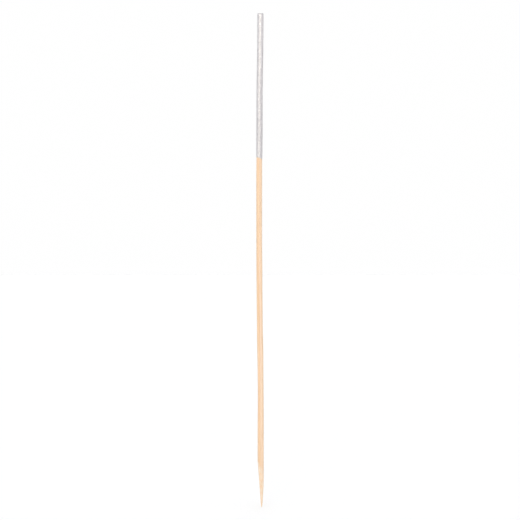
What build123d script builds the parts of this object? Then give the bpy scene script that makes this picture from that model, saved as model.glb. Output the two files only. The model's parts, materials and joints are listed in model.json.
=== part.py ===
from build123d import *
from math import radians, tan
import os

# A ten-inch bamboo pick: a bowed round stick, ground to a point, with its blunt end dipped in silver glitter.
# The frame's origin is the point. +Z runs up the stick to the coated blunt end, and the stick bows in the XZ plane.

# Driving dimensions, in millimetres unless a name says degrees.
LENGTH = 254.0  # from the point to the coated blunt end
STICK_RADIUS = 1.5  # three-millimetre stock
BLUNT_EDGE_RADIUS = 0.25  # sanded rim of the blunt end

# The bow that split bamboo keeps: how far the stick's middle and its blunt end stand from its lower end's axis.
POINT_OFFSET = 0.67  # from the lower end's axis to the point
MIDDLE_BOW = 0.77
BLUNT_END_BOW = 0.05
LOWER_BEND_Z = 58.0
MIDDLE_BEND_Z = 129.0
UPPER_BEND_Z = 167.0
BEND_RADIUS = 2000.0

# The ground point: a cone with a rounded nose, on an axis that leans because the stick was held off square.
# The cone leaves the stick's round side higher on the -X side than on the +X side.
CONE_HALF_ANGLE_DEGREES = 3.8
CONE_LEAN_DEGREES = 1.03
CONE_HEIGHT = 45.0  # well past where the cone leaves the stick
NOSE_LENGTH = 3.0
NOSE_RADIUS = 0.52
WORN_TIP_RADIUS = 0.12

# The dipped coating: a film of lacquer on the wood, and a layer of foil flakes on the lacquer.
LACQUER_THICKNESS = 0.045
GLITTER_THICKNESS = 0.06  # out to the tips of the flakes
COATED_LENGTH = 74.5
EDGE_SLANT_DEGREES = 20.0  # the dip line runs off square, lower on the +X side
BARE_LACQUER_RIM = 0.4  # lacquer that took no flakes, along the dip line

COATING_THICKNESS = LACQUER_THICKNESS + GLITTER_THICKNESS
WOOD_TOP_Z = LENGTH - COATING_THICKNESS
BELOW_POINT = 5.0  # spare stock that grinding the point takes away


def centre_line():
    """The stick's bowed axis, from below the point to the blunt end of the wood."""
    lower_x = -POINT_OFFSET
    middle_x = lower_x - MIDDLE_BOW
    corners = [
        (lower_x, 0, -BELOW_POINT),
        (lower_x, 0, LOWER_BEND_Z),
        (middle_x, 0, MIDDLE_BEND_Z),
        (middle_x, 0, UPPER_BEND_Z),
        (lower_x - BLUNT_END_BOW, 0, WOOD_TOP_Z),
    ]
    return FilletPolyline(*corners, radius=BEND_RADIUS)


def grinding_envelope():
    """Everything that grinding leaves: a nose and a cone round the leaning axis, and all of the stick above them."""
    cone_radius = NOSE_RADIUS + (CONE_HEIGHT - NOSE_LENGTH) * tan(radians(CONE_HALF_ANGLE_DEGREES))
    clear_radius = 20.0
    clear_z = LENGTH + clear_radius

    flank = Line((cone_radius, 0, CONE_HEIGHT), (NOSE_RADIUS, 0, NOSE_LENGTH))
    nose = TangentArc((NOSE_RADIUS, 0, NOSE_LENGTH), (WORN_TIP_RADIUS, 0, 0), tangent=flank % 1)
    rest = Polyline(
        (WORN_TIP_RADIUS, 0, 0),
        (0, 0, 0),
        (0, 0, clear_z),
        (clear_radius, 0, clear_z),
        (clear_radius, 0, CONE_HEIGHT),
        (cone_radius, 0, CONE_HEIGHT),
    )
    outline = make_face([flank, nose, rest])
    return Rot(0, -CONE_LEAN_DEGREES, 0) * revolve(outline, Axis.Z)


def bamboo_stick():
    """The bowed round bar, pointed at the bottom and sanded round the rim of its blunt end."""
    line = centre_line()
    section = Plane(origin=line @ 0, z_dir=line % 0) * Circle(STICK_RADIUS)
    bar = sweep(section, path=line)
    rim = bar.faces().sort_by(Axis.Z)[-1].edges()
    return fillet(rim, BLUNT_EDGE_RADIUS) & grinding_envelope()


def grown_blunt_end(growth):
    """The stick's straight blunt end with a film of even thickness growth all round it and over its end."""
    line = centre_line()
    spare = 4.0  # extra length for the slanted dip line to cut
    length = COATED_LENGTH + spare
    end = Plane(origin=line @ 1, z_dir=-(line % 1)).offset(-growth)
    post = extrude(end * Circle(STICK_RADIUS + growth), length)
    rim = post.faces().sort_by(Axis.Z)[-1].edges()
    return fillet(rim, BLUNT_EDGE_RADIUS + growth)


def above_dip_line(rim_width):
    """A block that holds all of the stick above the slanted dip line, and above a rim of this width along it."""
    middle = centre_line() @ 1
    edge_z = LENGTH - COATED_LENGTH + rim_width
    size = 2 * COATED_LENGTH
    block = Box(size, size, size, align=(Align.CENTER, Align.CENTER, Align.MIN))
    return Pos(middle.X, 0, edge_z) * Rot(0, EDGE_SLANT_DEGREES, 0) * block


def coating_film(inner_growth, outer_growth, rim_width):
    """One closed film of the coating, between two growths of the stick, down to a rim above the dip line."""
    film = grown_blunt_end(outer_growth) - grown_blunt_end(inner_growth)
    return film & above_dip_line(rim_width)


NODES = {
    "bamboo_stick": bamboo_stick(),
    "silver_lacquer_coat": coating_film(0.0, LACQUER_THICKNESS, 0.0),
    "glitter_layer": coating_film(LACQUER_THICKNESS, COATING_THICKNESS, BARE_LACQUER_RIM),
}

os.makedirs("parts", exist_ok=True)
for name, solid in NODES.items():
    export_step(solid, f"parts/{name}.step")
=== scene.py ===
"""The looks of a bamboo pick whose blunt end is dipped in silver glitter lacquer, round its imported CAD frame.

Everything is in metres in the frame's own axes: the point is at the origin and +Z runs up the stick.
"""

import json
from math import cos, pi, radians, sin, tan

import bpy
import numpy as np
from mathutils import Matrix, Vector


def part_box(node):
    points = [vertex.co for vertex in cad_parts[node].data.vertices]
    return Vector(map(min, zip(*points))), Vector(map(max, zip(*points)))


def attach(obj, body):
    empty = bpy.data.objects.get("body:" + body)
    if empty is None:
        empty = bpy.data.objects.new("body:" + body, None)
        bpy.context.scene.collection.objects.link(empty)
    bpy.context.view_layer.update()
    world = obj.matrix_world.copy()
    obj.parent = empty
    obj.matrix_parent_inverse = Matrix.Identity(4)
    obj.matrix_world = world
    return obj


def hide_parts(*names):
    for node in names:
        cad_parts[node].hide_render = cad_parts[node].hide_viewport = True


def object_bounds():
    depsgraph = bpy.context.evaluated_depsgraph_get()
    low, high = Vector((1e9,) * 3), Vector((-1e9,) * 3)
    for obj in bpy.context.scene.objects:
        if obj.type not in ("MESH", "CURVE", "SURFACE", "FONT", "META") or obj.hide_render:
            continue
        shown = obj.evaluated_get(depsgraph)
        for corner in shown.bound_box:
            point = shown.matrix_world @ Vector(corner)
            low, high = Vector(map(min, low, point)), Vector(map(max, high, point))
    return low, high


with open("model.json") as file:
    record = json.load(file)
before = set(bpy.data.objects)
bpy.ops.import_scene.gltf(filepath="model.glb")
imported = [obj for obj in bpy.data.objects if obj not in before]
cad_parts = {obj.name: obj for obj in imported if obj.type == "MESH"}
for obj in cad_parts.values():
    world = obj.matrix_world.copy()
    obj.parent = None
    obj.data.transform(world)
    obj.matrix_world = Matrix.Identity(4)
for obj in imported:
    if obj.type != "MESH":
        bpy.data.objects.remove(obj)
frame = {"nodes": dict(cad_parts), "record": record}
cad_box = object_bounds()

MM = 0.001
MOUNTS = {mount["name"]: mount for mount in frame["record"]["mounts"]}
WOOD_RADIUS = MOUNTS["shaft"]["dims"]["r_mm"] * MM

# The UV map that each piece is unwrapped into, as its maker here lays it out.
BAKE_UV_MAP = "OFBake"

# The wood's shape.
SEGMENTS = 128
POINT_RING_STEP = 0.15 * MM
SHAFT_RING_STEP = 0.46 * MM
COVERED_RING_STEP = 2.5 * MM  # where the coating hides the wood
FINE_RINGS_PAST_DIP = 4.0 * MM  # how far the closer rings run on under the coating
GROUND_TOP = 26.0 * MM  # above it, nothing of the stick is ground
GROUND_BLEND = 10.0 * MM  # the height below it over which the rings' middles move onto the cone's axis
CONE_HEIGHTS = (5.0 * MM, 14.0 * MM)  # where the cone is measured on the CAD stick
NOSE_LENGTH = 3.0 * MM
WORN_TIP_RADIUS = 0.12 * MM
CONE_BELLY = 0.075 * MM  # how much fuller than a cone the grinding left the point
BELLY_HEIGHTS = (11.0 * MM, 4.5 * MM)  # where the belly is, and how far it reaches
BARE_NOSE = 3.6 * MM  # the end of the point, worn back to the wood's own colour
BENT_TIP_LENGTH = 12.0 * MM  # the end of the point is pushed a little to the -X side
BENT_TIP_SHIFT = 0.23 * MM
BLUNT_EDGE_RADIUS = 0.25 * MM
# The flats that grinding left: how many round the point, how deep as a share of its radius, and their turn.
FACETS = ((5, 0.012, 0.6), (8, 0.008, 2.2))
OUT_OF_ROUND = (0.007, 0.004)  # as shares of the radius: how oval the stick is, and how three-sided
OVAL_TURN_LENGTH = 190 * MM  # up which the oval turns by one radian
WOOD_STRIPS = 6  # that the UV map cuts the long stick into, side by side
# How thick the stick is at heights along it, in mm, as a share of its radius.
THICKNESS_ALONG = (
    (0, 1.062), (36, 1.062), (42, 1.075), (54, 1.0), (61, 0.98), (66, 0.993), (72, 1.002), (80, 1.055),
    (85, 1.05), (93, 0.99), (104, 1.02), (115, 1.0), (122, 1.03), (134, 0.99), (147, 0.998), (171, 1.022),
    (175, 1.012), (177, 0.983), (254, 0.983),
)
# How far the stick's middle wanders along X from the CAD's smooth line, at heights along it, all in mm.
WANDER_ALONG = (
    (0, -0.02), (40, -0.03), (56, 0.05), (66, 0.01), (77, 0.08), (90, -0.08), (104, -0.03), (111, -0.08),
    (120, 0.03), (130, 0.01), (160, 0), (180, -0.06), (196, -0.05), (204, -0.11), (212, -0.21), (224, -0.13),
    (238, 0.0), (245, -0.02), (254, -0.07),
)

# The wood's surface.
WOOD_SEED = 11
FIBRE_LENGTHS = (16 * MM, 5 * MM)
FIBRE_RELIEF = 0.007 * MM
VESSEL_COUNT = 760
VESSEL_LENGTHS = (6.0 * MM, 48.0 * MM)
VESSEL_WIDTH = 0.036  # as an angle round the stick, in radians
VESSEL_DEPTH = 0.022 * MM
SCRATCH_LENGTH = 1.2 * MM
SCRATCH_RELIEF = 0.006 * MM
GRAIN_LEFT_BY_GRINDING = 0.3  # as a share of the fibres' and vessels' relief
GROUND_FADE = 0.02 * MM  # the depth of grinding over which the wood turns from milled to ground

# The coating.
DIP_SLANT = radians(20)  # the dip line is lower on the +X side
DIP_RUN_DOWN = 0.1 * MM  # how far the lacquer's runs lie below the CAD's clean edge
# The dip line's runs: how many there are round the stick, and how high.
DIP_WAVES = ((3, 0.10 * MM), (7, 0.08 * MM), (13, 0.07 * MM), (23, 0.045 * MM))
DIP_SEED = 23  # of those runs, which the lacquer and the flakes share
LACQUER_SEGMENTS = 128
LACQUER_RING_STEP = 0.3 * MM
LACQUER_STRIPS = 3
LUMP_LENGTHS = (2.4 * MM, 0.9 * MM)
LUMP_HEIGHT = 0.008 * MM
BEAD_HEIGHT = 0.02 * MM  # of the thicker lacquer along the dip line
BEAD_MIDDLE = 0.35 * MM  # above the dip line
BEAD_REACH = 0.3 * MM
EDGE_RISE = 0.16 * MM  # the height over which the film's lower edge thickens
FILM_SINK = 0.028 * MM  # how much the drying lacquer has sunk between its flakes
FILM_ROOT = 0.015 * MM  # how far the film's inside lies within the wood
RIM_TURNS = (22, 45, 67, 90)  # the lacquer's rings over the rounded rim, in degrees
END_SHARES = (0.7, 0.4, 0.15)  # and its rings on the end face, as shares of the face's radius
INSIDE_RINGS = 24  # of the film's inside, above its first ring, which is level with the film's lower edge
INSIDE_FROM_RING = 30  # the outside ring that the lowest of them is level with
BARE_RIM = 0.3 * MM  # lacquer without flakes, along the dip line
FLAKE_RADIUS = 0.15 * MM  # to the corners of its hexagon
FLAKE_DEPTH = 0.03 * MM  # how far each flake's foot reaches down into the lacquer
FLAKE_CORNERS = 6
FLAKE_STRAY = 0.4  # how far a flake may lie from its even place, in pitches
FIRST_FLAKE_SEED = 37
# The layers of flakes: how far apart they lie, the least and the most that they stand over the lacquer, and
# how much they tilt, in degrees.
FLAKE_LAYERS = {
    "glitter_flakes_low": (0.265 * MM, 0.0, 0.012 * MM, 4.5),
    "glitter_flakes_high": (0.32 * MM, 0.014 * MM, 0.034 * MM, 8.0),
}
LOOSE_TILT = 4  # more degrees of tilt at the dip line, falling to none at the blunt end

# Base colours.
DARK_BUNDLE = (0.62, 0.37, 0.18)
PALE_BUNDLE = (0.93, 0.78, 0.59)
DARK_FIBRE = (0.64, 0.39, 0.19)
DARK_DASH = (0.36, 0.18, 0.07)
VESSEL_BROWN = (0.45, 0.25, 0.11)
GROUND_WOOD = (0.84, 0.73, 0.61)
POOLED_LACQUER = (0.60, 0.58, 0.592)
HAZED_FOIL = (0.64, 0.62, 0.632)
WHITE_STUDIO = (0.998, 0.998, 0.998)
CEILING = (0.45, 0.45, 0.46)

FLOOR_SIZE = 12.0  # from its middle to its edge
FLOOR_STEPS = 8

TWO_PI = 2 * pi


# ---------------------------------------------------------------- reading the CAD frame

def cad_edges(node):
    """Both ends of every edge of a CAD node, as an array of shape (edges, 2, 3)."""
    mesh = frame["nodes"][node].data
    points = np.array([v.co for v in mesh.vertices])
    ends = np.array([e.vertices[:] for e in mesh.edges])
    return points[ends]


def section(edges, z):
    """The middle and the half width, along X, of what a level plane at height z cuts through these edges."""
    low, high = edges[:, 0], edges[:, 1]
    crossing = (low[:, 2] - z) * (high[:, 2] - z) < 0
    low, high = low[crossing], high[crossing]
    share = (z - low[:, 2]) / (high[:, 2] - low[:, 2])
    x = low[:, 0] + share * (high[:, 0] - low[:, 0])
    return (x.min() + x.max()) / 2, (x.max() - x.min()) / 2


def smooth(values, reach):
    """A list of numbers, each replaced by the mean of those up to reach places away."""
    padded = np.pad(values, reach, mode="reflect", reflect_type="odd")
    width = 2 * reach + 1
    kernel = np.ones(width) / width
    return np.convolve(padded, kernel, mode="valid")


def from_table(table, z):
    """A value at height z from a table of heights in mm and values."""
    heights, values = np.array(table).T
    return np.interp(z / MM, heights, values)


STICK_EDGES = cad_edges("bamboo_stick")
STICK_LOW, STICK_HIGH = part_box("bamboo_stick")
LACQUER_LOW, LACQUER_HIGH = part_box("silver_lacquer_coat")
LACQUER_THICKNESS = LACQUER_HIGH.z - STICK_HIGH.z
DIP_LINE_DROP = WOOD_RADIUS * tan(DIP_SLANT)  # from the stick's middle to its +X side
DIP_LINE_Z = LACQUER_LOW.z - DIP_RUN_DOWN + DIP_LINE_DROP
LACQUER_RADIUS = WOOD_RADIUS + LACQUER_THICKNESS - FILM_SINK

SHAFT_TOP = STICK_HIGH.z - BLUNT_EDGE_RADIUS  # where the blunt end's rim begins to round
LINE_HEIGHTS = np.arange(GROUND_TOP, SHAFT_TOP, 3 * MM)
CAD_LINE_X = np.array([section(STICK_EDGES, z)[0] for z in LINE_HEIGHTS])
LINE_X = smooth(CAD_LINE_X + from_table(WANDER_ALONG, LINE_HEIGHTS) * MM, 2)
(CONE_X_LOW, CONE_R_LOW), (CONE_X_HIGH, CONE_R_HIGH) = [section(STICK_EDGES, z) for z in CONE_HEIGHTS]


def line_x(z):
    """Where the stick's bowed and slightly wandering middle is at height z."""
    return np.interp(z, LINE_HEIGHTS, LINE_X)


def along_cone(z, low, high):
    """A value that runs straight up the ground cone, from its values at the two measured heights."""
    start, end = CONE_HEIGHTS
    return low + (high - low) * (z - start) / (end - start)


def cone_radius(z):
    """The ground point's radius at height z: a cone, and a rounded nose below it."""
    slope = (CONE_R_HIGH - CONE_R_LOW) / (CONE_HEIGHTS[1] - CONE_HEIGHTS[0])
    drop = np.maximum(NOSE_LENGTH - z, 0)
    nose_top = along_cone(NOSE_LENGTH, CONE_R_LOW, CONE_R_HIGH)
    curl = (nose_top - slope * NOSE_LENGTH - WORN_TIP_RADIUS) / NOSE_LENGTH**2
    belly_z, belly_reach = BELLY_HEIGHTS
    belly = CONE_BELLY * np.exp(-((z - belly_z) / belly_reach) ** 2)
    return along_cone(z, CONE_R_LOW, CONE_R_HIGH) + belly - curl * drop**2


# ---------------------------------------------------------------- seeded patterns on a round surface

def streaks(rng, heights, segments, length, blur):
    """Smooth random ridges from -1 to 1 that run along a round surface, one row for each height."""
    knots = int((heights[-1] - heights[0]) / length) + 4
    values = rng.uniform(-1, 1, (knots, segments))
    for _ in range(blur):
        values = (np.roll(values, 1, 1) + 2 * values + np.roll(values, -1, 1)) / 4
    values /= np.abs(values).max()
    place = (heights - heights[0]) / length
    below = np.floor(place).astype(int)
    share = place - below
    share = (share * share * (3 - 2 * share))[:, None]
    return values[below] * (1 - share) + values[below + 1] * share


def grooves(rng, heights, segments, count, lengths, width):
    """Narrow grooves, 1 deep, that run along a round surface and fade out at their ends."""
    angles = np.linspace(0, TWO_PI, segments, endpoint=False)
    field = np.zeros((len(heights), segments))
    for _ in range(count):
        length = rng.uniform(*lengths)
        middle = rng.uniform(heights[0], heights[-1])
        angle = rng.uniform(0, TWO_PI)
        depth = rng.uniform(0.3, 1)
        away = np.abs((angles - angle + pi) % TWO_PI - pi) / width
        along = np.clip(1 - np.abs(heights - middle) / (length / 2), 0, 1)
        field = np.maximum(field, depth * np.sqrt(along)[:, None] * np.exp(-away**2)[None, :])
    return field


# ---------------------------------------------------------------- meshes

def mesh_piece(name, points, parts, smooth_shading=True):
    """A mesh object from its points and parts, each a list of faces and a list of their corners' UV pairs."""
    mesh = bpy.data.meshes.new(name)
    mesh.from_pydata(points, [], sum((faces for faces, _ in parts), []))
    layer = mesh.uv_layers.new(name=BAKE_UV_MAP)
    layer.data.foreach_set("uv", np.concatenate([np.asarray(uvs, np.float32) for _, uvs in parts]).ravel())
    mesh.polygons.foreach_set("use_smooth", [smooth_shading] * len(mesh.polygons))
    mesh.update()
    piece = bpy.data.objects.new(name, mesh)
    bpy.context.scene.collection.objects.link(piece)
    return piece


def attribute(piece, name, values, domain="POINT"):
    """Stores one number for each point, or each face, which the piece's material reads."""
    layer = piece.data.attributes.new(name, "FLOAT", domain)
    layer.data.foreach_set("value", np.asarray(values, np.float32).ravel())


def strip_faces(rings, first_point, strips, place=(0, 1), flip=False):
    """Quads between the rings of a tube, which the UV map cuts across into strips that lie side by side.

    The points are numbered from first_point. place is the part of the UV map's width that the strips fill.
    """
    count, segments = rings.shape[:2]
    lengths = np.concatenate(([0], np.cumsum(np.linalg.norm(np.diff(rings[:, 0], axis=0), axis=1))))
    width = (place[1] - place[0]) / strips
    faces, uvs = [], []
    for strip in range(strips):
        first, last = strip * (count - 1) // strips, (strip + 1) * (count - 1) // strips
        v = 0.01 + 0.98 * (lengths[first:last + 1] - lengths[first]) / (lengths[last] - lengths[first])
        u = place[0] + width * (strip + 0.03 + 0.94 * np.arange(segments + 1) / segments)
        for ring in range(first, last):
            low = first_point + ring * segments
            v_low, v_high = v[ring - first], v[ring - first + 1]
            for side in range(segments):
                across = (side + 1) % segments
                face = [low + side, low + across, low + segments + across, low + segments + side]
                uv = [(u[side], v_low), (u[side + 1], v_low), (u[side + 1], v_high), (u[side], v_high)]
                faces.append(face[::-1] if flip else face)
                uvs += uv[::-1] if flip else uv
    return faces, uvs


def cap_faces(first_point, centre, segments, uv_centre, uv_radius, flip=False):
    """Triangles from a ring to its centre point, as a small disc on the UV map."""
    turns = np.arange(segments + 1) * TWO_PI / segments
    rim = np.array(uv_centre) + uv_radius * np.stack((np.cos(turns), np.sin(turns)), axis=1)
    faces, uvs = [], []
    for side in range(segments):
        face = [first_point + side, first_point + (side + 1) % segments, centre]
        uv = [tuple(rim[side]), tuple(rim[side + 1]), tuple(uv_centre)]
        faces.append(face[::-1] if flip else face)
        uvs += uv[::-1] if flip else uv
    return faces, uvs


# ---------------------------------------------------------------- the bamboo stick

def to_circle(x, cosines, sines, middle, radius):
    """How far a level ray from x goes, at each angle, before it meets a circle round middle."""
    away = middle - x
    along = away * cosines
    return along + np.sqrt(np.maximum(radius**2 - away**2 + along**2, 0))


def wood_radius(heights, angles):
    """The milled stick's radius round its middle, with slow waves and a little out of round."""
    share = smooth(from_table(THICKNESS_ALONG, heights), 8)[:, None]
    turn = (heights / OVAL_TURN_LENGTH)[:, None]
    two_sided, three_sided = OUT_OF_ROUND
    oval = two_sided * np.cos(2 * (angles + turn)) + three_sided * np.cos(3 * angles - 2 * turn + 1)
    return WOOD_RADIUS * (share + oval)


def ring_heights():
    """Heights of the stick's rings: closest at the point, and far apart under the coating."""
    covered = DIP_LINE_Z + FINE_RINGS_PAST_DIP
    return np.concatenate((
        np.arange(0, GROUND_TOP, POINT_RING_STEP),
        np.arange(GROUND_TOP, covered, SHAFT_RING_STEP),
        np.arange(covered, SHAFT_TOP, COVERED_RING_STEP),
        [SHAFT_TOP],
    ))


def wood_rim(last_ring, top):
    """The rings over the blunt end's rounded rim, from the shaft's last ring in towards the top's middle."""
    rim = []
    for turn in radians(30), radians(60), radians(90):
        ring = last_ring.copy()
        ring[:, :2] += (top[:2] - ring[:, :2]) * (1 - cos(turn)) * BLUNT_EDGE_RADIUS / WOOD_RADIUS
        ring[:, 2] = top[2] - BLUNT_EDGE_RADIUS * (1 - sin(turn))
        rim.append(ring)
    return rim


def bamboo_wood():
    """The stick: milled round, bowed, fibrous, and ground to a leaning point whose end is a little bent."""
    rng = np.random.default_rng(WOOD_SEED)
    heights = ring_heights()
    angles = np.linspace(0, TWO_PI, SEGMENTS, endpoint=False)
    cosines, sines = np.cos(angles), np.sin(angles)

    fibre = streaks(rng, heights, SEGMENTS, FIBRE_LENGTHS[0], 1)
    fibre += 0.5 * streaks(rng, heights, SEGMENTS, FIBRE_LENGTHS[1], 0)
    vessels = grooves(rng, heights, SEGMENTS, VESSEL_COUNT, VESSEL_LENGTHS, VESSEL_WIDTH)
    relief = FIBRE_RELIEF * fibre - VESSEL_DEPTH * vessels
    scratches = streaks(rng, heights, SEGMENTS, SCRATCH_LENGTH, 2)
    facets = sum(depth * np.cos(sides * angles + turn) for sides, depth, turn in FACETS)

    milled = wood_radius(heights, angles)
    points = np.empty((len(heights), SEGMENTS, 3))
    ground = np.zeros((len(heights), SEGMENTS))
    for ring, z in enumerate(heights):
        stick_x = line_x(z)
        cone_x = along_cone(z, CONE_X_LOW, CONE_X_HIGH)
        x = stick_x + (cone_x - stick_x) * min(max((GROUND_TOP - z) / GROUND_BLEND, 0), 1)
        reach = to_circle(x, cosines, sines, stick_x, milled[ring]) + relief[ring]
        if z < GROUND_TOP:
            cut = to_circle(x, cosines, sines, cone_x, cone_radius(z) * (1 + facets))
            cut += SCRATCH_RELIEF * scratches[ring] + GRAIN_LEFT_BY_GRINDING * relief[ring]
            ground[ring] = np.clip((reach - cut) / GROUND_FADE + 0.5, 0, 1)
            paler = 0.78 - 0.22 * cosines  # most of all on the -X side, where the grinding goes deepest
            ground[ring] *= paler * np.clip(z / BARE_NOSE, 0.15, 1)
            reach = np.minimum(reach, cut)
            x -= BENT_TIP_SHIFT * max(1 - z / BENT_TIP_LENGTH, 0) ** 1.2
        points[ring, :, 0] = x + reach * cosines
        points[ring, :, 1] = reach * sines
        points[ring, :, 2] = z

    top = np.array([line_x(STICK_HIGH.z), 0, STICK_HIGH.z])
    rim = wood_rim(points[-1], top)
    rings = np.concatenate((points, rim))
    tip = points[0].mean(axis=0)
    count = len(rings)
    parts = [
        strip_faces(rings, 0, WOOD_STRIPS),
        cap_faces(0, count * SEGMENTS, SEGMENTS, (0.002, 0.002), 0.0015, flip=True),
        cap_faces((count - 1) * SEGMENTS, count * SEGMENTS + 1, SEGMENTS, (0.002, 0.998), 0.0015),
    ]
    piece = mesh_piece("bamboo_wood", np.concatenate((rings.reshape(-1, 3), [tip, top])), parts)
    rim_zeros = np.zeros(len(rim) * SEGMENTS)
    attribute(piece, "side", [*np.tile(cosines, count), 0, 0])
    attribute(piece, "ground", [*ground.ravel(), *rim_zeros, 1, 0])
    attribute(piece, "vessel", [*vessels.ravel(), *rim_zeros, 0, 0])
    return piece


# ---------------------------------------------------------------- the coating

def dip_line(angles, rng):
    """The height of the lacquer's lower edge at each angle: slanted, with small ragged runs."""
    ragged = np.zeros(len(angles))
    for waves, size in DIP_WAVES:
        ragged += size * np.cos(waves * angles + rng.uniform(0, TWO_PI))
    return DIP_LINE_Z - DIP_LINE_DROP * np.cos(angles) + ragged


def ring_round(heights, reach, angles):
    """A ring of points round the stick's middle: one at each angle, at that one's own height."""
    return np.stack((line_x(heights) + reach * np.cos(angles), reach * np.sin(angles), heights), axis=1)


def lacquer_rings():
    """The lacquer's outside: from its ragged lower edge, over a small bead, up to the blunt end's middle."""
    rng = np.random.default_rng(DIP_SEED)
    angles = np.linspace(0, TWO_PI, LACQUER_SEGMENTS, endpoint=False)
    edge = dip_line(angles, rng)
    top_z = STICK_HIGH.z + LACQUER_THICKNESS
    edge_radius = BLUNT_EDGE_RADIUS + LACQUER_THICKNESS
    height = top_z - edge_radius - DIP_LINE_Z
    share = np.linspace(0, 1, int(height / LACQUER_RING_STEP)) ** 1.15  # closer together at the bead
    lumps = streaks(rng, share * height, LACQUER_SEGMENTS, LUMP_LENGTHS[0], 9)
    lumps += 0.6 * streaks(rng, share * height, LACQUER_SEGMENTS, LUMP_LENGTHS[1], 5)
    rings = []
    for step, up in enumerate(share):
        z = edge + (top_z - edge_radius - edge) * up
        bead = BEAD_HEIGHT * np.exp(-((z - edge - BEAD_MIDDLE) / BEAD_REACH) ** 2)
        rise = np.sqrt(np.clip((z - edge) / EDGE_RISE, 0.02, 1))
        film = LACQUER_RADIUS - WOOD_RADIUS + bead + LUMP_HEIGHT * lumps[step]
        rings.append(ring_round(z, WOOD_RADIUS + rise * film, angles))
    middle = np.array([line_x(top_z), 0])
    side = rings[-1]
    for turn in RIM_TURNS:
        ring = side.copy()
        shrink = edge_radius * (1 - cos(radians(turn))) / (WOOD_RADIUS + LACQUER_THICKNESS)
        ring[:, :2] += (middle - ring[:, :2]) * shrink
        ring[:, 2] = top_z - edge_radius * (1 - sin(radians(turn)))
        rings.append(ring)
    flat = rings[-1]
    for left in END_SHARES:
        ring = flat.copy()
        ring[:, :2] = middle + (flat[:, :2] - middle) * left
        rings.append(ring)
    return np.array(rings)


def lacquer_film():
    """A closed film of silver lacquer: lumpy, with a bead at its ragged edge, and rooted in the wood."""
    segments = LACQUER_SEGMENTS
    outside = lacquer_rings()
    heights = outside[:, :, 2]
    side_rings = len(outside) - len(RIM_TURNS) - len(END_SHARES)
    inside_top = heights[side_rings - 1] - BLUNT_EDGE_RADIUS
    inside_z = [heights[0], *np.linspace(heights[INSIDE_FROM_RING], inside_top, INSIDE_RINGS)]
    angles = np.linspace(0, TWO_PI, segments, endpoint=False)
    inside = np.array([ring_round(z, WOOD_RADIUS - FILM_ROOT, angles) for z in inside_z])
    inside_start = len(outside) * segments
    centres = inside_start + len(inside) * segments
    join, join_uv = [], []
    for side in range(segments):
        across = (side + 1) % segments
        join.append([inside_start + side, inside_start + across, across, side])
        left, right = 0.76 + 0.23 * side / segments, 0.76 + 0.23 * (side + 1) / segments
        join_uv += [(left, 0.002), (right, 0.002), (right, 0.006), (left, 0.006)]
    parts = [
        strip_faces(outside, 0, LACQUER_STRIPS, (0, 0.75)),
        strip_faces(inside, inside_start, 1, (0.75, 1), flip=True),
        cap_faces(inside_start - segments, centres, segments, (0.003, 0.003), 0.002),
        cap_faces(centres - segments, centres + 1, segments, (0.003, 0.997), 0.002, flip=True),
        (join, join_uv),
    ]
    tops = [outside[-1].mean(axis=0), inside[-1].mean(axis=0)]
    points = np.concatenate((outside.reshape(-1, 3), inside.reshape(-1, 3), tops))
    return mesh_piece("lacquer_film", points, parts)


def side_places(pitch, rng):
    """A middle, an outward direction and a height share for each flake of a layer on the round side."""
    angles = np.linspace(0, TWO_PI, 361)
    edge = dip_line(angles, np.random.default_rng(DIP_SEED))
    lowest = DIP_LINE_Z - DIP_LINE_DROP
    row_step = pitch * cos(radians(30))
    around = int(TWO_PI * LACQUER_RADIUS / pitch)
    for row in range(int((SHAFT_TOP - lowest) / row_step)):
        for item in range(around):
            angle = TWO_PI * (item + 0.5 * (row % 2) + rng.uniform(-FLAKE_STRAY, FLAKE_STRAY)) / around
            z = lowest + (row + rng.uniform(-FLAKE_STRAY, FLAKE_STRAY)) * row_step
            if z < np.interp(angle % TWO_PI, angles, edge) + BARE_RIM * rng.uniform(0.2, 1.6):
                continue
            outward = np.array([cos(angle), sin(angle), 0])
            middle = np.array([line_x(z), 0, z]) + outward * LACQUER_RADIUS
            yield middle, outward, (z - lowest) / (SHAFT_TOP - lowest)


def end_places(pitch, rng):
    """The same for the flakes over the blunt end: two rings on its rounded rim, and rings on its face."""
    edge_radius = BLUNT_EDGE_RADIUS + LACQUER_THICKNESS
    top_x, top_z = line_x(STICK_HIGH.z), STICK_HIGH.z + LACQUER_THICKNESS
    rings = [(LACQUER_RADIUS - edge_radius * (1 - cos(radians(rise))), radians(rise)) for rise in (25, 62)]
    reach = LACQUER_RADIUS - edge_radius
    while reach > 0:
        rings.append((reach, radians(90)))
        reach -= 0.9 * pitch
    for reach, rise in rings:
        count = max(int(TWO_PI * reach / pitch), 1)
        for item in range(count):
            angle = TWO_PI * (item + rng.uniform(-0.3, 0.3)) / count
            outward = np.array([cos(angle) * cos(rise), sin(angle) * cos(rise), sin(rise)])
            z = top_z - edge_radius * (1 - sin(rise))
            yield np.array([top_x + reach * cos(angle), reach * sin(angle), z]), outward, 1


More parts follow.
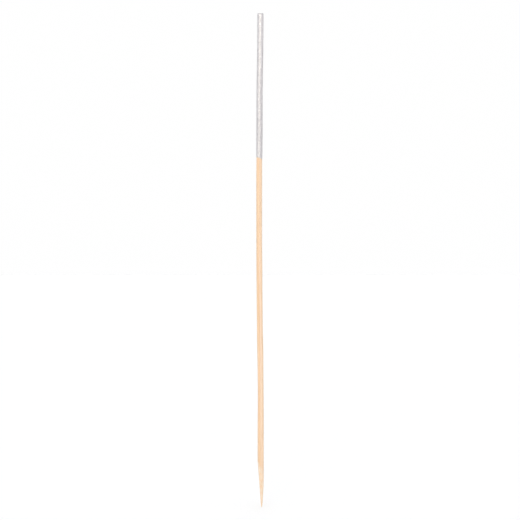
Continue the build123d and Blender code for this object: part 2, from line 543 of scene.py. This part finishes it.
def glitter_flakes(name, seed):
    """Thousands of foil hexagons in one layer, each lying a little tilted in the lacquer."""
    rng = np.random.default_rng(seed)
    pitch, low, high, tilt = FLAKE_LAYERS[name]
    places = [*side_places(pitch, rng), *end_places(pitch, rng)]
    cells = int(np.ceil(np.sqrt(len(places))))  # each flake has its own square of the UV map
    turns = np.arange(FLAKE_CORNERS) * TWO_PI / FLAKE_CORNERS
    points, faces, uvs, tones = [], [], [], []
    for item, (middle, outward, up) in enumerate(places):
        normal = outward + rng.normal(0, tan(radians(tilt + LOOSE_TILT * (1 - up))), 3)
        normal /= np.linalg.norm(normal)
        across = np.cross(normal, [0.3, 0.5, 0.81])
        across /= np.linalg.norm(across)
        along = np.cross(normal, across)
        angles = turns + rng.uniform(0, TWO_PI)
        radius = FLAKE_RADIUS * rng.normal(1, 0.05)
        centre = middle + outward * rng.uniform(low, high)
        corners = centre + radius * (np.cos(angles)[:, None] * across + np.sin(angles)[:, None] * along)
        start = len(points)
        points += [*corners, centre - normal * FLAKE_DEPTH]
        home = np.array([item % cells + 0.5, item // cells + 0.5])
        ring_uv = (home + 0.30 * np.stack((np.cos(angles), np.sin(angles)), axis=1)) / cells
        feet = angles + TWO_PI / (2 * FLAKE_CORNERS)
        foot_uv = (home + 0.46 * np.stack((np.cos(feet), np.sin(feet)), axis=1)) / cells
        faces.append([start + corner for corner in range(FLAKE_CORNERS)])
        uvs += [*ring_uv]
        for corner in range(FLAKE_CORNERS):
            after = (corner + 1) % FLAKE_CORNERS
            faces.append([start + after, start + corner, start + FLAKE_CORNERS])
            uvs += [ring_uv[after], ring_uv[corner], foot_uv[corner]]
        # Each flake's own random shade, darkened towards the dip line as painted shade that fades the highlight
        # down the coat.
        tones += [rng.beta(1.6, 1.5) * (0.7 + 0.3 * up)] * (FLAKE_CORNERS + 1)  # one for each of its faces
    piece = mesh_piece(name, [tuple(p) for p in points], [(faces, uvs)], smooth_shading=False)
    attribute(piece, "tone", tones, "FACE")
    return piece


# ---------------------------------------------------------------- materials

def add(tree, kind, **settings):
    """A new node with these settings."""
    node = tree.nodes.new(kind)
    for name, value in settings.items():
        setattr(node, name, value)
    return node


def new_material(name):
    """A material with one Principled shader, and its tree."""
    material = bpy.data.materials.new(name)
    material.use_nodes = True
    shader = material.node_tree.nodes["Principled BSDF"]
    return material, material.node_tree, shader


def stretched_noise(tree, width, length, detail=2.0, shift=0.0, roughness=0.5):
    """Noise whose grains are width across the stick and length along it, in metres."""
    where = add(tree, "ShaderNodeTexCoord")
    mapping = add(tree, "ShaderNodeMapping")
    mapping.inputs["Location"].default_value = (shift, 2 * shift, 3 * shift)
    mapping.inputs["Scale"].default_value = (1 / width, 1 / width, 1 / length)
    noise = add(tree, "ShaderNodeTexNoise")
    noise.inputs["Scale"].default_value = 1.0
    noise.inputs["Detail"].default_value = detail
    noise.inputs["Roughness"].default_value = roughness
    tree.links.new(where.outputs["Object"], mapping.inputs["Vector"])
    tree.links.new(mapping.outputs["Vector"], noise.inputs["Vector"])
    return noise.outputs["Fac"]


def read_attribute(tree, name):
    """The number that the mesh stores under this name."""
    return add(tree, "ShaderNodeAttribute", attribute_name=name).outputs["Fac"]


def from_range(tree, value, low, high, out_low=0.0, out_high=1.0):
    """A value taken from one range to another, and held within it."""
    node = add(tree, "ShaderNodeMapRange")
    tree.links.new(value, node.inputs["Value"])
    for name, number in (("From Min", low), ("From Max", high), ("To Min", out_low), ("To Max", out_high)):
        node.inputs[name].default_value = number
    return node.outputs["Result"]


def combine(tree, operation, first, second):
    """Two values joined by a Math node; the second may be a plain number."""
    node = add(tree, "ShaderNodeMath", operation=operation)
    tree.links.new(first, node.inputs[0])
    if isinstance(second, float):
        node.inputs[1].default_value = second
    else:
        tree.links.new(second, node.inputs[1])
    return node.outputs[0]


def ramp(tree, value, stops):
    """A colour from a value, through (position, colour) stops."""
    node = add(tree, "ShaderNodeValToRGB")
    elements = node.color_ramp.elements
    while len(elements) < len(stops):
        elements.new(0.5)
    for element, (position, colour) in zip(elements, stops):
        element.position = position
        element.color = (*colour, 1)
    tree.links.new(value, node.inputs["Fac"])
    return node.outputs["Color"]


def mix_in(tree, colour, other, amount):
    """colour with some of a plain other colour mixed in, by amount."""
    node = add(tree, "ShaderNodeMix", data_type="RGBA")
    tree.links.new(amount, node.inputs["Factor"])
    tree.links.new(colour, node.inputs["A"])
    node.inputs["B"].default_value = (*other, 1)
    return node.outputs["Result"]


def bump(tree, shader, height, distance, strength):
    """Raises the shader's surface by a height from 0 to 1."""
    node = add(tree, "ShaderNodeBump")
    node.inputs["Distance"].default_value = distance
    node.inputs["Strength"].default_value = strength
    tree.links.new(height, node.inputs["Height"])
    tree.links.new(node.outputs["Normal"], shader.inputs["Normal"])


def bamboo_material():
    """Straw-coloured bamboo: bundles of fibres with dark vessels, and paler where it is ground."""
    material, tree, shader = new_material("bamboo")
    drift = stretched_noise(tree, 1.2 * MM, 80 * MM, detail=1.0)
    bundles = stretched_noise(tree, 0.26 * MM, 60 * MM, detail=2.0, shift=4.0)
    fibres = stretched_noise(tree, 0.07 * MM, 9 * MM, detail=3.0, shift=7.0, roughness=0.65)
    dashes = stretched_noise(tree, 0.07 * MM, 7.0 * MM, detail=1.0, shift=9.0)
    scuffs = stretched_noise(tree, 0.22 * MM, 2.6 * MM, detail=2.0, shift=15.0)

    side = combine(tree, "ADD", read_attribute(tree, "side"), from_range(tree, drift, 0.3, 0.7, -0.22, 0.22))
    place = from_range(tree, side, -1.2, 1.2)
    # Across the stick: orange on the -X side, a pale band just +X of the middle, and painted shade that darkens
    # and greys the colour towards both ±X edges.
    colour = ramp(tree, place, [
        (0.05, (0.82, 0.620, 0.455)),
        (0.22, (0.90, 0.640, 0.435)),
        (0.40, (0.89, 0.610, 0.400)),
        (0.55, (0.90, 0.695, 0.555)),
        (0.70, (0.92, 0.670, 0.465)),
        (0.92, (0.86, 0.650, 0.475)),
    ])
    colour = mix_in(tree, colour, DARK_BUNDLE, from_range(tree, bundles, 0.50, 0.70, 0.0, 0.34))
    colour = mix_in(tree, colour, PALE_BUNDLE, from_range(tree, bundles, 0.47, 0.30, 0.0, 0.36))
    colour = mix_in(tree, colour, DARK_FIBRE, from_range(tree, fibres, 0.54, 0.62, 0.0, 0.22))
    colour = mix_in(tree, colour, DARK_DASH, from_range(tree, dashes, 0.64, 0.70, 0.0, 0.42))
    vessel = from_range(tree, read_attribute(tree, "vessel"), 0.25, 1.0, 0.0, 0.5)
    colour = mix_in(tree, colour, VESSEL_BROWN, vessel)
    scuffed = from_range(tree, scuffs, 0.44, 0.54, 0.05, 0.85)
    pale = combine(tree, "MULTIPLY", read_attribute(tree, "ground"), scuffed)
    colour = mix_in(tree, colour, GROUND_WOOD, pale)
    tree.links.new(colour, shader.inputs["Base Color"])

    rough = from_range(tree, fibres, 0.25, 0.75, 0.64, 0.42)
    tree.links.new(rough, shader.inputs["Roughness"])
    shader.inputs["Specular IOR Level"].default_value = 0.35
    ridges = combine(tree, "ADD", fibres, combine(tree, "MULTIPLY", bundles, 0.8))
    bump(tree, shader, ridges, 0.03 * MM, 0.8)
    return material


def lacquer_material():
    """Dried silver lacquer full of the finest flakes, under a thin gloss."""
    material, tree, shader = new_material("silver_lacquer")
    cells = add(tree, "ShaderNodeTexVoronoi", feature="F1")
    cells.inputs["Scale"].default_value = 1 / (0.09 * MM)
    where = add(tree, "ShaderNodeTexCoord")
    tree.links.new(where.outputs["Object"], cells.inputs["Vector"])
    grey = add(tree, "ShaderNodeSeparateColor")
    tree.links.new(cells.outputs["Color"], grey.inputs["Color"])
    cloud = stretched_noise(tree, 0.8 * MM, 1.6 * MM, detail=2.0, shift=3.0)
    shade = combine(tree, "ADD", grey.outputs["Red"], from_range(tree, cloud, 0.3, 0.7, -0.3, 0.3))
    colour = ramp(tree, shade, [
        (0.0, (0.56, 0.545, 0.555)),
        (0.6, (0.68, 0.66, 0.672)),
        (1.0, (0.80, 0.78, 0.79)),
    ])
    tree.links.new(colour, shader.inputs["Base Color"])
    tree.links.new(from_range(tree, grey.outputs["Green"], 0.0, 1.0, 0.34, 0.6), shader.inputs["Roughness"])
    shader.inputs["Metallic"].default_value = 0.85
    shader.inputs["Coat Weight"].default_value = 0.25
    shader.inputs["Coat Roughness"].default_value = 0.2
    bump(tree, shader, cloud, 0.01 * MM, 0.5)
    return material


def flake_material():
    """Aluminium foil flakes, each with its own shade and polish, and duller where lacquer has pooled."""
    material, tree, shader = new_material("silver_glitter")
    tone = read_attribute(tree, "tone")
    colour = ramp(tree, tone, [
        (0.0, (0.60, 0.578, 0.592)),
        (0.5, (0.75, 0.725, 0.74)),
        (1.0, (0.91, 0.885, 0.892)),
    ])
    pools = stretched_noise(tree, 0.55 * MM, 0.9 * MM, detail=1.0, shift=21.0)
    pooled = from_range(tree, pools, 0.45, 0.68, 0.0, 0.55)
    colour = mix_in(tree, colour, POOLED_LACQUER, pooled)
    haze = stretched_noise(tree, 0.12 * MM, 0.12 * MM, detail=2.0, shift=6.0)
    colour = mix_in(tree, colour, HAZED_FOIL, from_range(tree, haze, 0.5, 0.75, 0.0, 0.5))
    tree.links.new(colour, shader.inputs["Base Color"])
    dulled = combine(tree, "MULTIPLY", combine(tree, "ADD", haze, pooled), 0.12)
    rough = combine(tree, "ADD", from_range(tree, tone, 0.0, 1.0, 0.40, 0.26), dulled)
    tree.links.new(rough, shader.inputs["Roughness"])
    shader.inputs["Metallic"].default_value = 1.0
    return material


def floor_material():
    """White matt card."""
    material, tree, shader = new_material("white_card")
    grain = stretched_noise(tree, 1.2 * MM, 1.2 * MM, detail=3.0)
    colour = ramp(tree, grain, [(0.0, (0.93, 0.93, 0.93)), (1.0, (0.97, 0.97, 0.97))])
    tree.links.new(colour, shader.inputs["Base Color"])
    shader.inputs["Roughness"].default_value = 0.9
    shader.inputs["Specular IOR Level"].default_value = 0.0
    return material


# ---------------------------------------------------------------- the stage, lights and camera

def floor():
    """A wide pale floor that the point just touches."""
    ticks = np.linspace(-FLOOR_SIZE, FLOOR_SIZE, FLOOR_STEPS + 1)
    points = [(x, y, STICK_LOW.z) for y in ticks for x in ticks]
    faces, uvs = [], []
    for row in range(FLOOR_STEPS):
        for column in range(FLOOR_STEPS):
            first = row * (FLOOR_STEPS + 1) + column
            above = first + FLOOR_STEPS + 1
            faces.append([first, first + 1, above + 1, above])
            uvs += [(0, 0), (1, 0), (1, 1), (0, 1)]
    piece = mesh_piece("floor", points, [(faces, uvs)])
    piece.data.materials.append(floor_material())


def soft_sun(name, azimuth, elevation, strength, spread, colour):
    """A wide soft light from far off. Azimuth 0 shines from the camera's side, and 90 from +X."""
    light = bpy.data.lights.new(name, "SUN")
    light.energy = strength
    light.angle = radians(spread)
    light.color = colour
    lamp = bpy.data.objects.new(name, light)
    a, e = radians(azimuth), radians(elevation)
    towards = Vector((sin(a) * cos(e), -cos(a) * cos(e), sin(e)))
    lamp.rotation_mode = "QUATERNION"
    lamp.rotation_quaternion = towards.to_track_quat("Z", "Y")
    lamp.location = towards
    bpy.context.scene.collection.objects.link(lamp)


def surroundings():
    """A studio that is white from below the horizon to a little above it, and dims to a grey ceiling."""
    world = bpy.data.worlds.new("white_studio")
    bpy.context.scene.world = world
    world.use_nodes = True
    tree = world.node_tree
    where = add(tree, "ShaderNodeTexCoord")
    split = add(tree, "ShaderNodeSeparateXYZ")
    tree.links.new(where.outputs["Generated"], split.inputs["Vector"])
    colour = ramp(tree, split.outputs["Z"], [(0.20, WHITE_STUDIO), (0.50, CEILING)])
    tree.links.new(colour, tree.nodes["Background"].inputs["Color"])


def lights():
    """A wide warm lamp beside the camera, a weak one to each side, one over the object and one behind it."""
    soft_sun("key", -11, 16, 0.65, 22, (1.0, 0.95, 0.78))
    soft_sun("fill_left", -60, 12, 0.32, 50, (1.0, 1.0, 1.0))
    soft_sun("fill_right", 60, 12, 0.28, 50, (1.0, 1.0, 1.0))
    soft_sun("overhead", 0, 88, 1.25, 30, (0.935, 0.955, 0.99))
    soft_sun("back", 172, 24, 0.5, 30, (1.0, 0.96, 0.86))
    bpy.context.scene.view_settings.view_transform = "Standard"


def camera():
    """A long lens, level with the stick's middle, looking along +Y."""
    data = bpy.data.cameras.new("camera")
    data.lens = 100
    data.sensor_width = 36
    data.clip_start = 0.01
    data.clip_end = 100
    low, high = cad_box
    seen = 1.0538 * (high.z - low.z)  # how much height the picture takes in
    eye = bpy.data.objects.new("camera", data)
    eye.location = (low + high) / 2 + Vector((0, -seen * data.lens / data.sensor_width, 0.15 * MM))
    eye.rotation_euler = (radians(90), 0, 0)
    bpy.context.scene.collection.objects.link(eye)
    bpy.context.scene.camera = eye


# ---------------------------------------------------------------- putting it together

def put_in_place(piece, node, material):
    """The piece stands for its CAD node, moves with the object and wears its material."""
    piece.data.materials.append(material)
    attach(piece, "root")
    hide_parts(node)


put_in_place(bamboo_wood(), "bamboo_stick", bamboo_material())
put_in_place(lacquer_film(), "silver_lacquer_coat", lacquer_material())
glitter = flake_material()
for seed, name in enumerate(FLAKE_LAYERS, start=FIRST_FLAKE_SEED):
    put_in_place(glitter_flakes(name, seed), "glitter_layer", glitter)
floor()
surroundings()
lights()
camera()
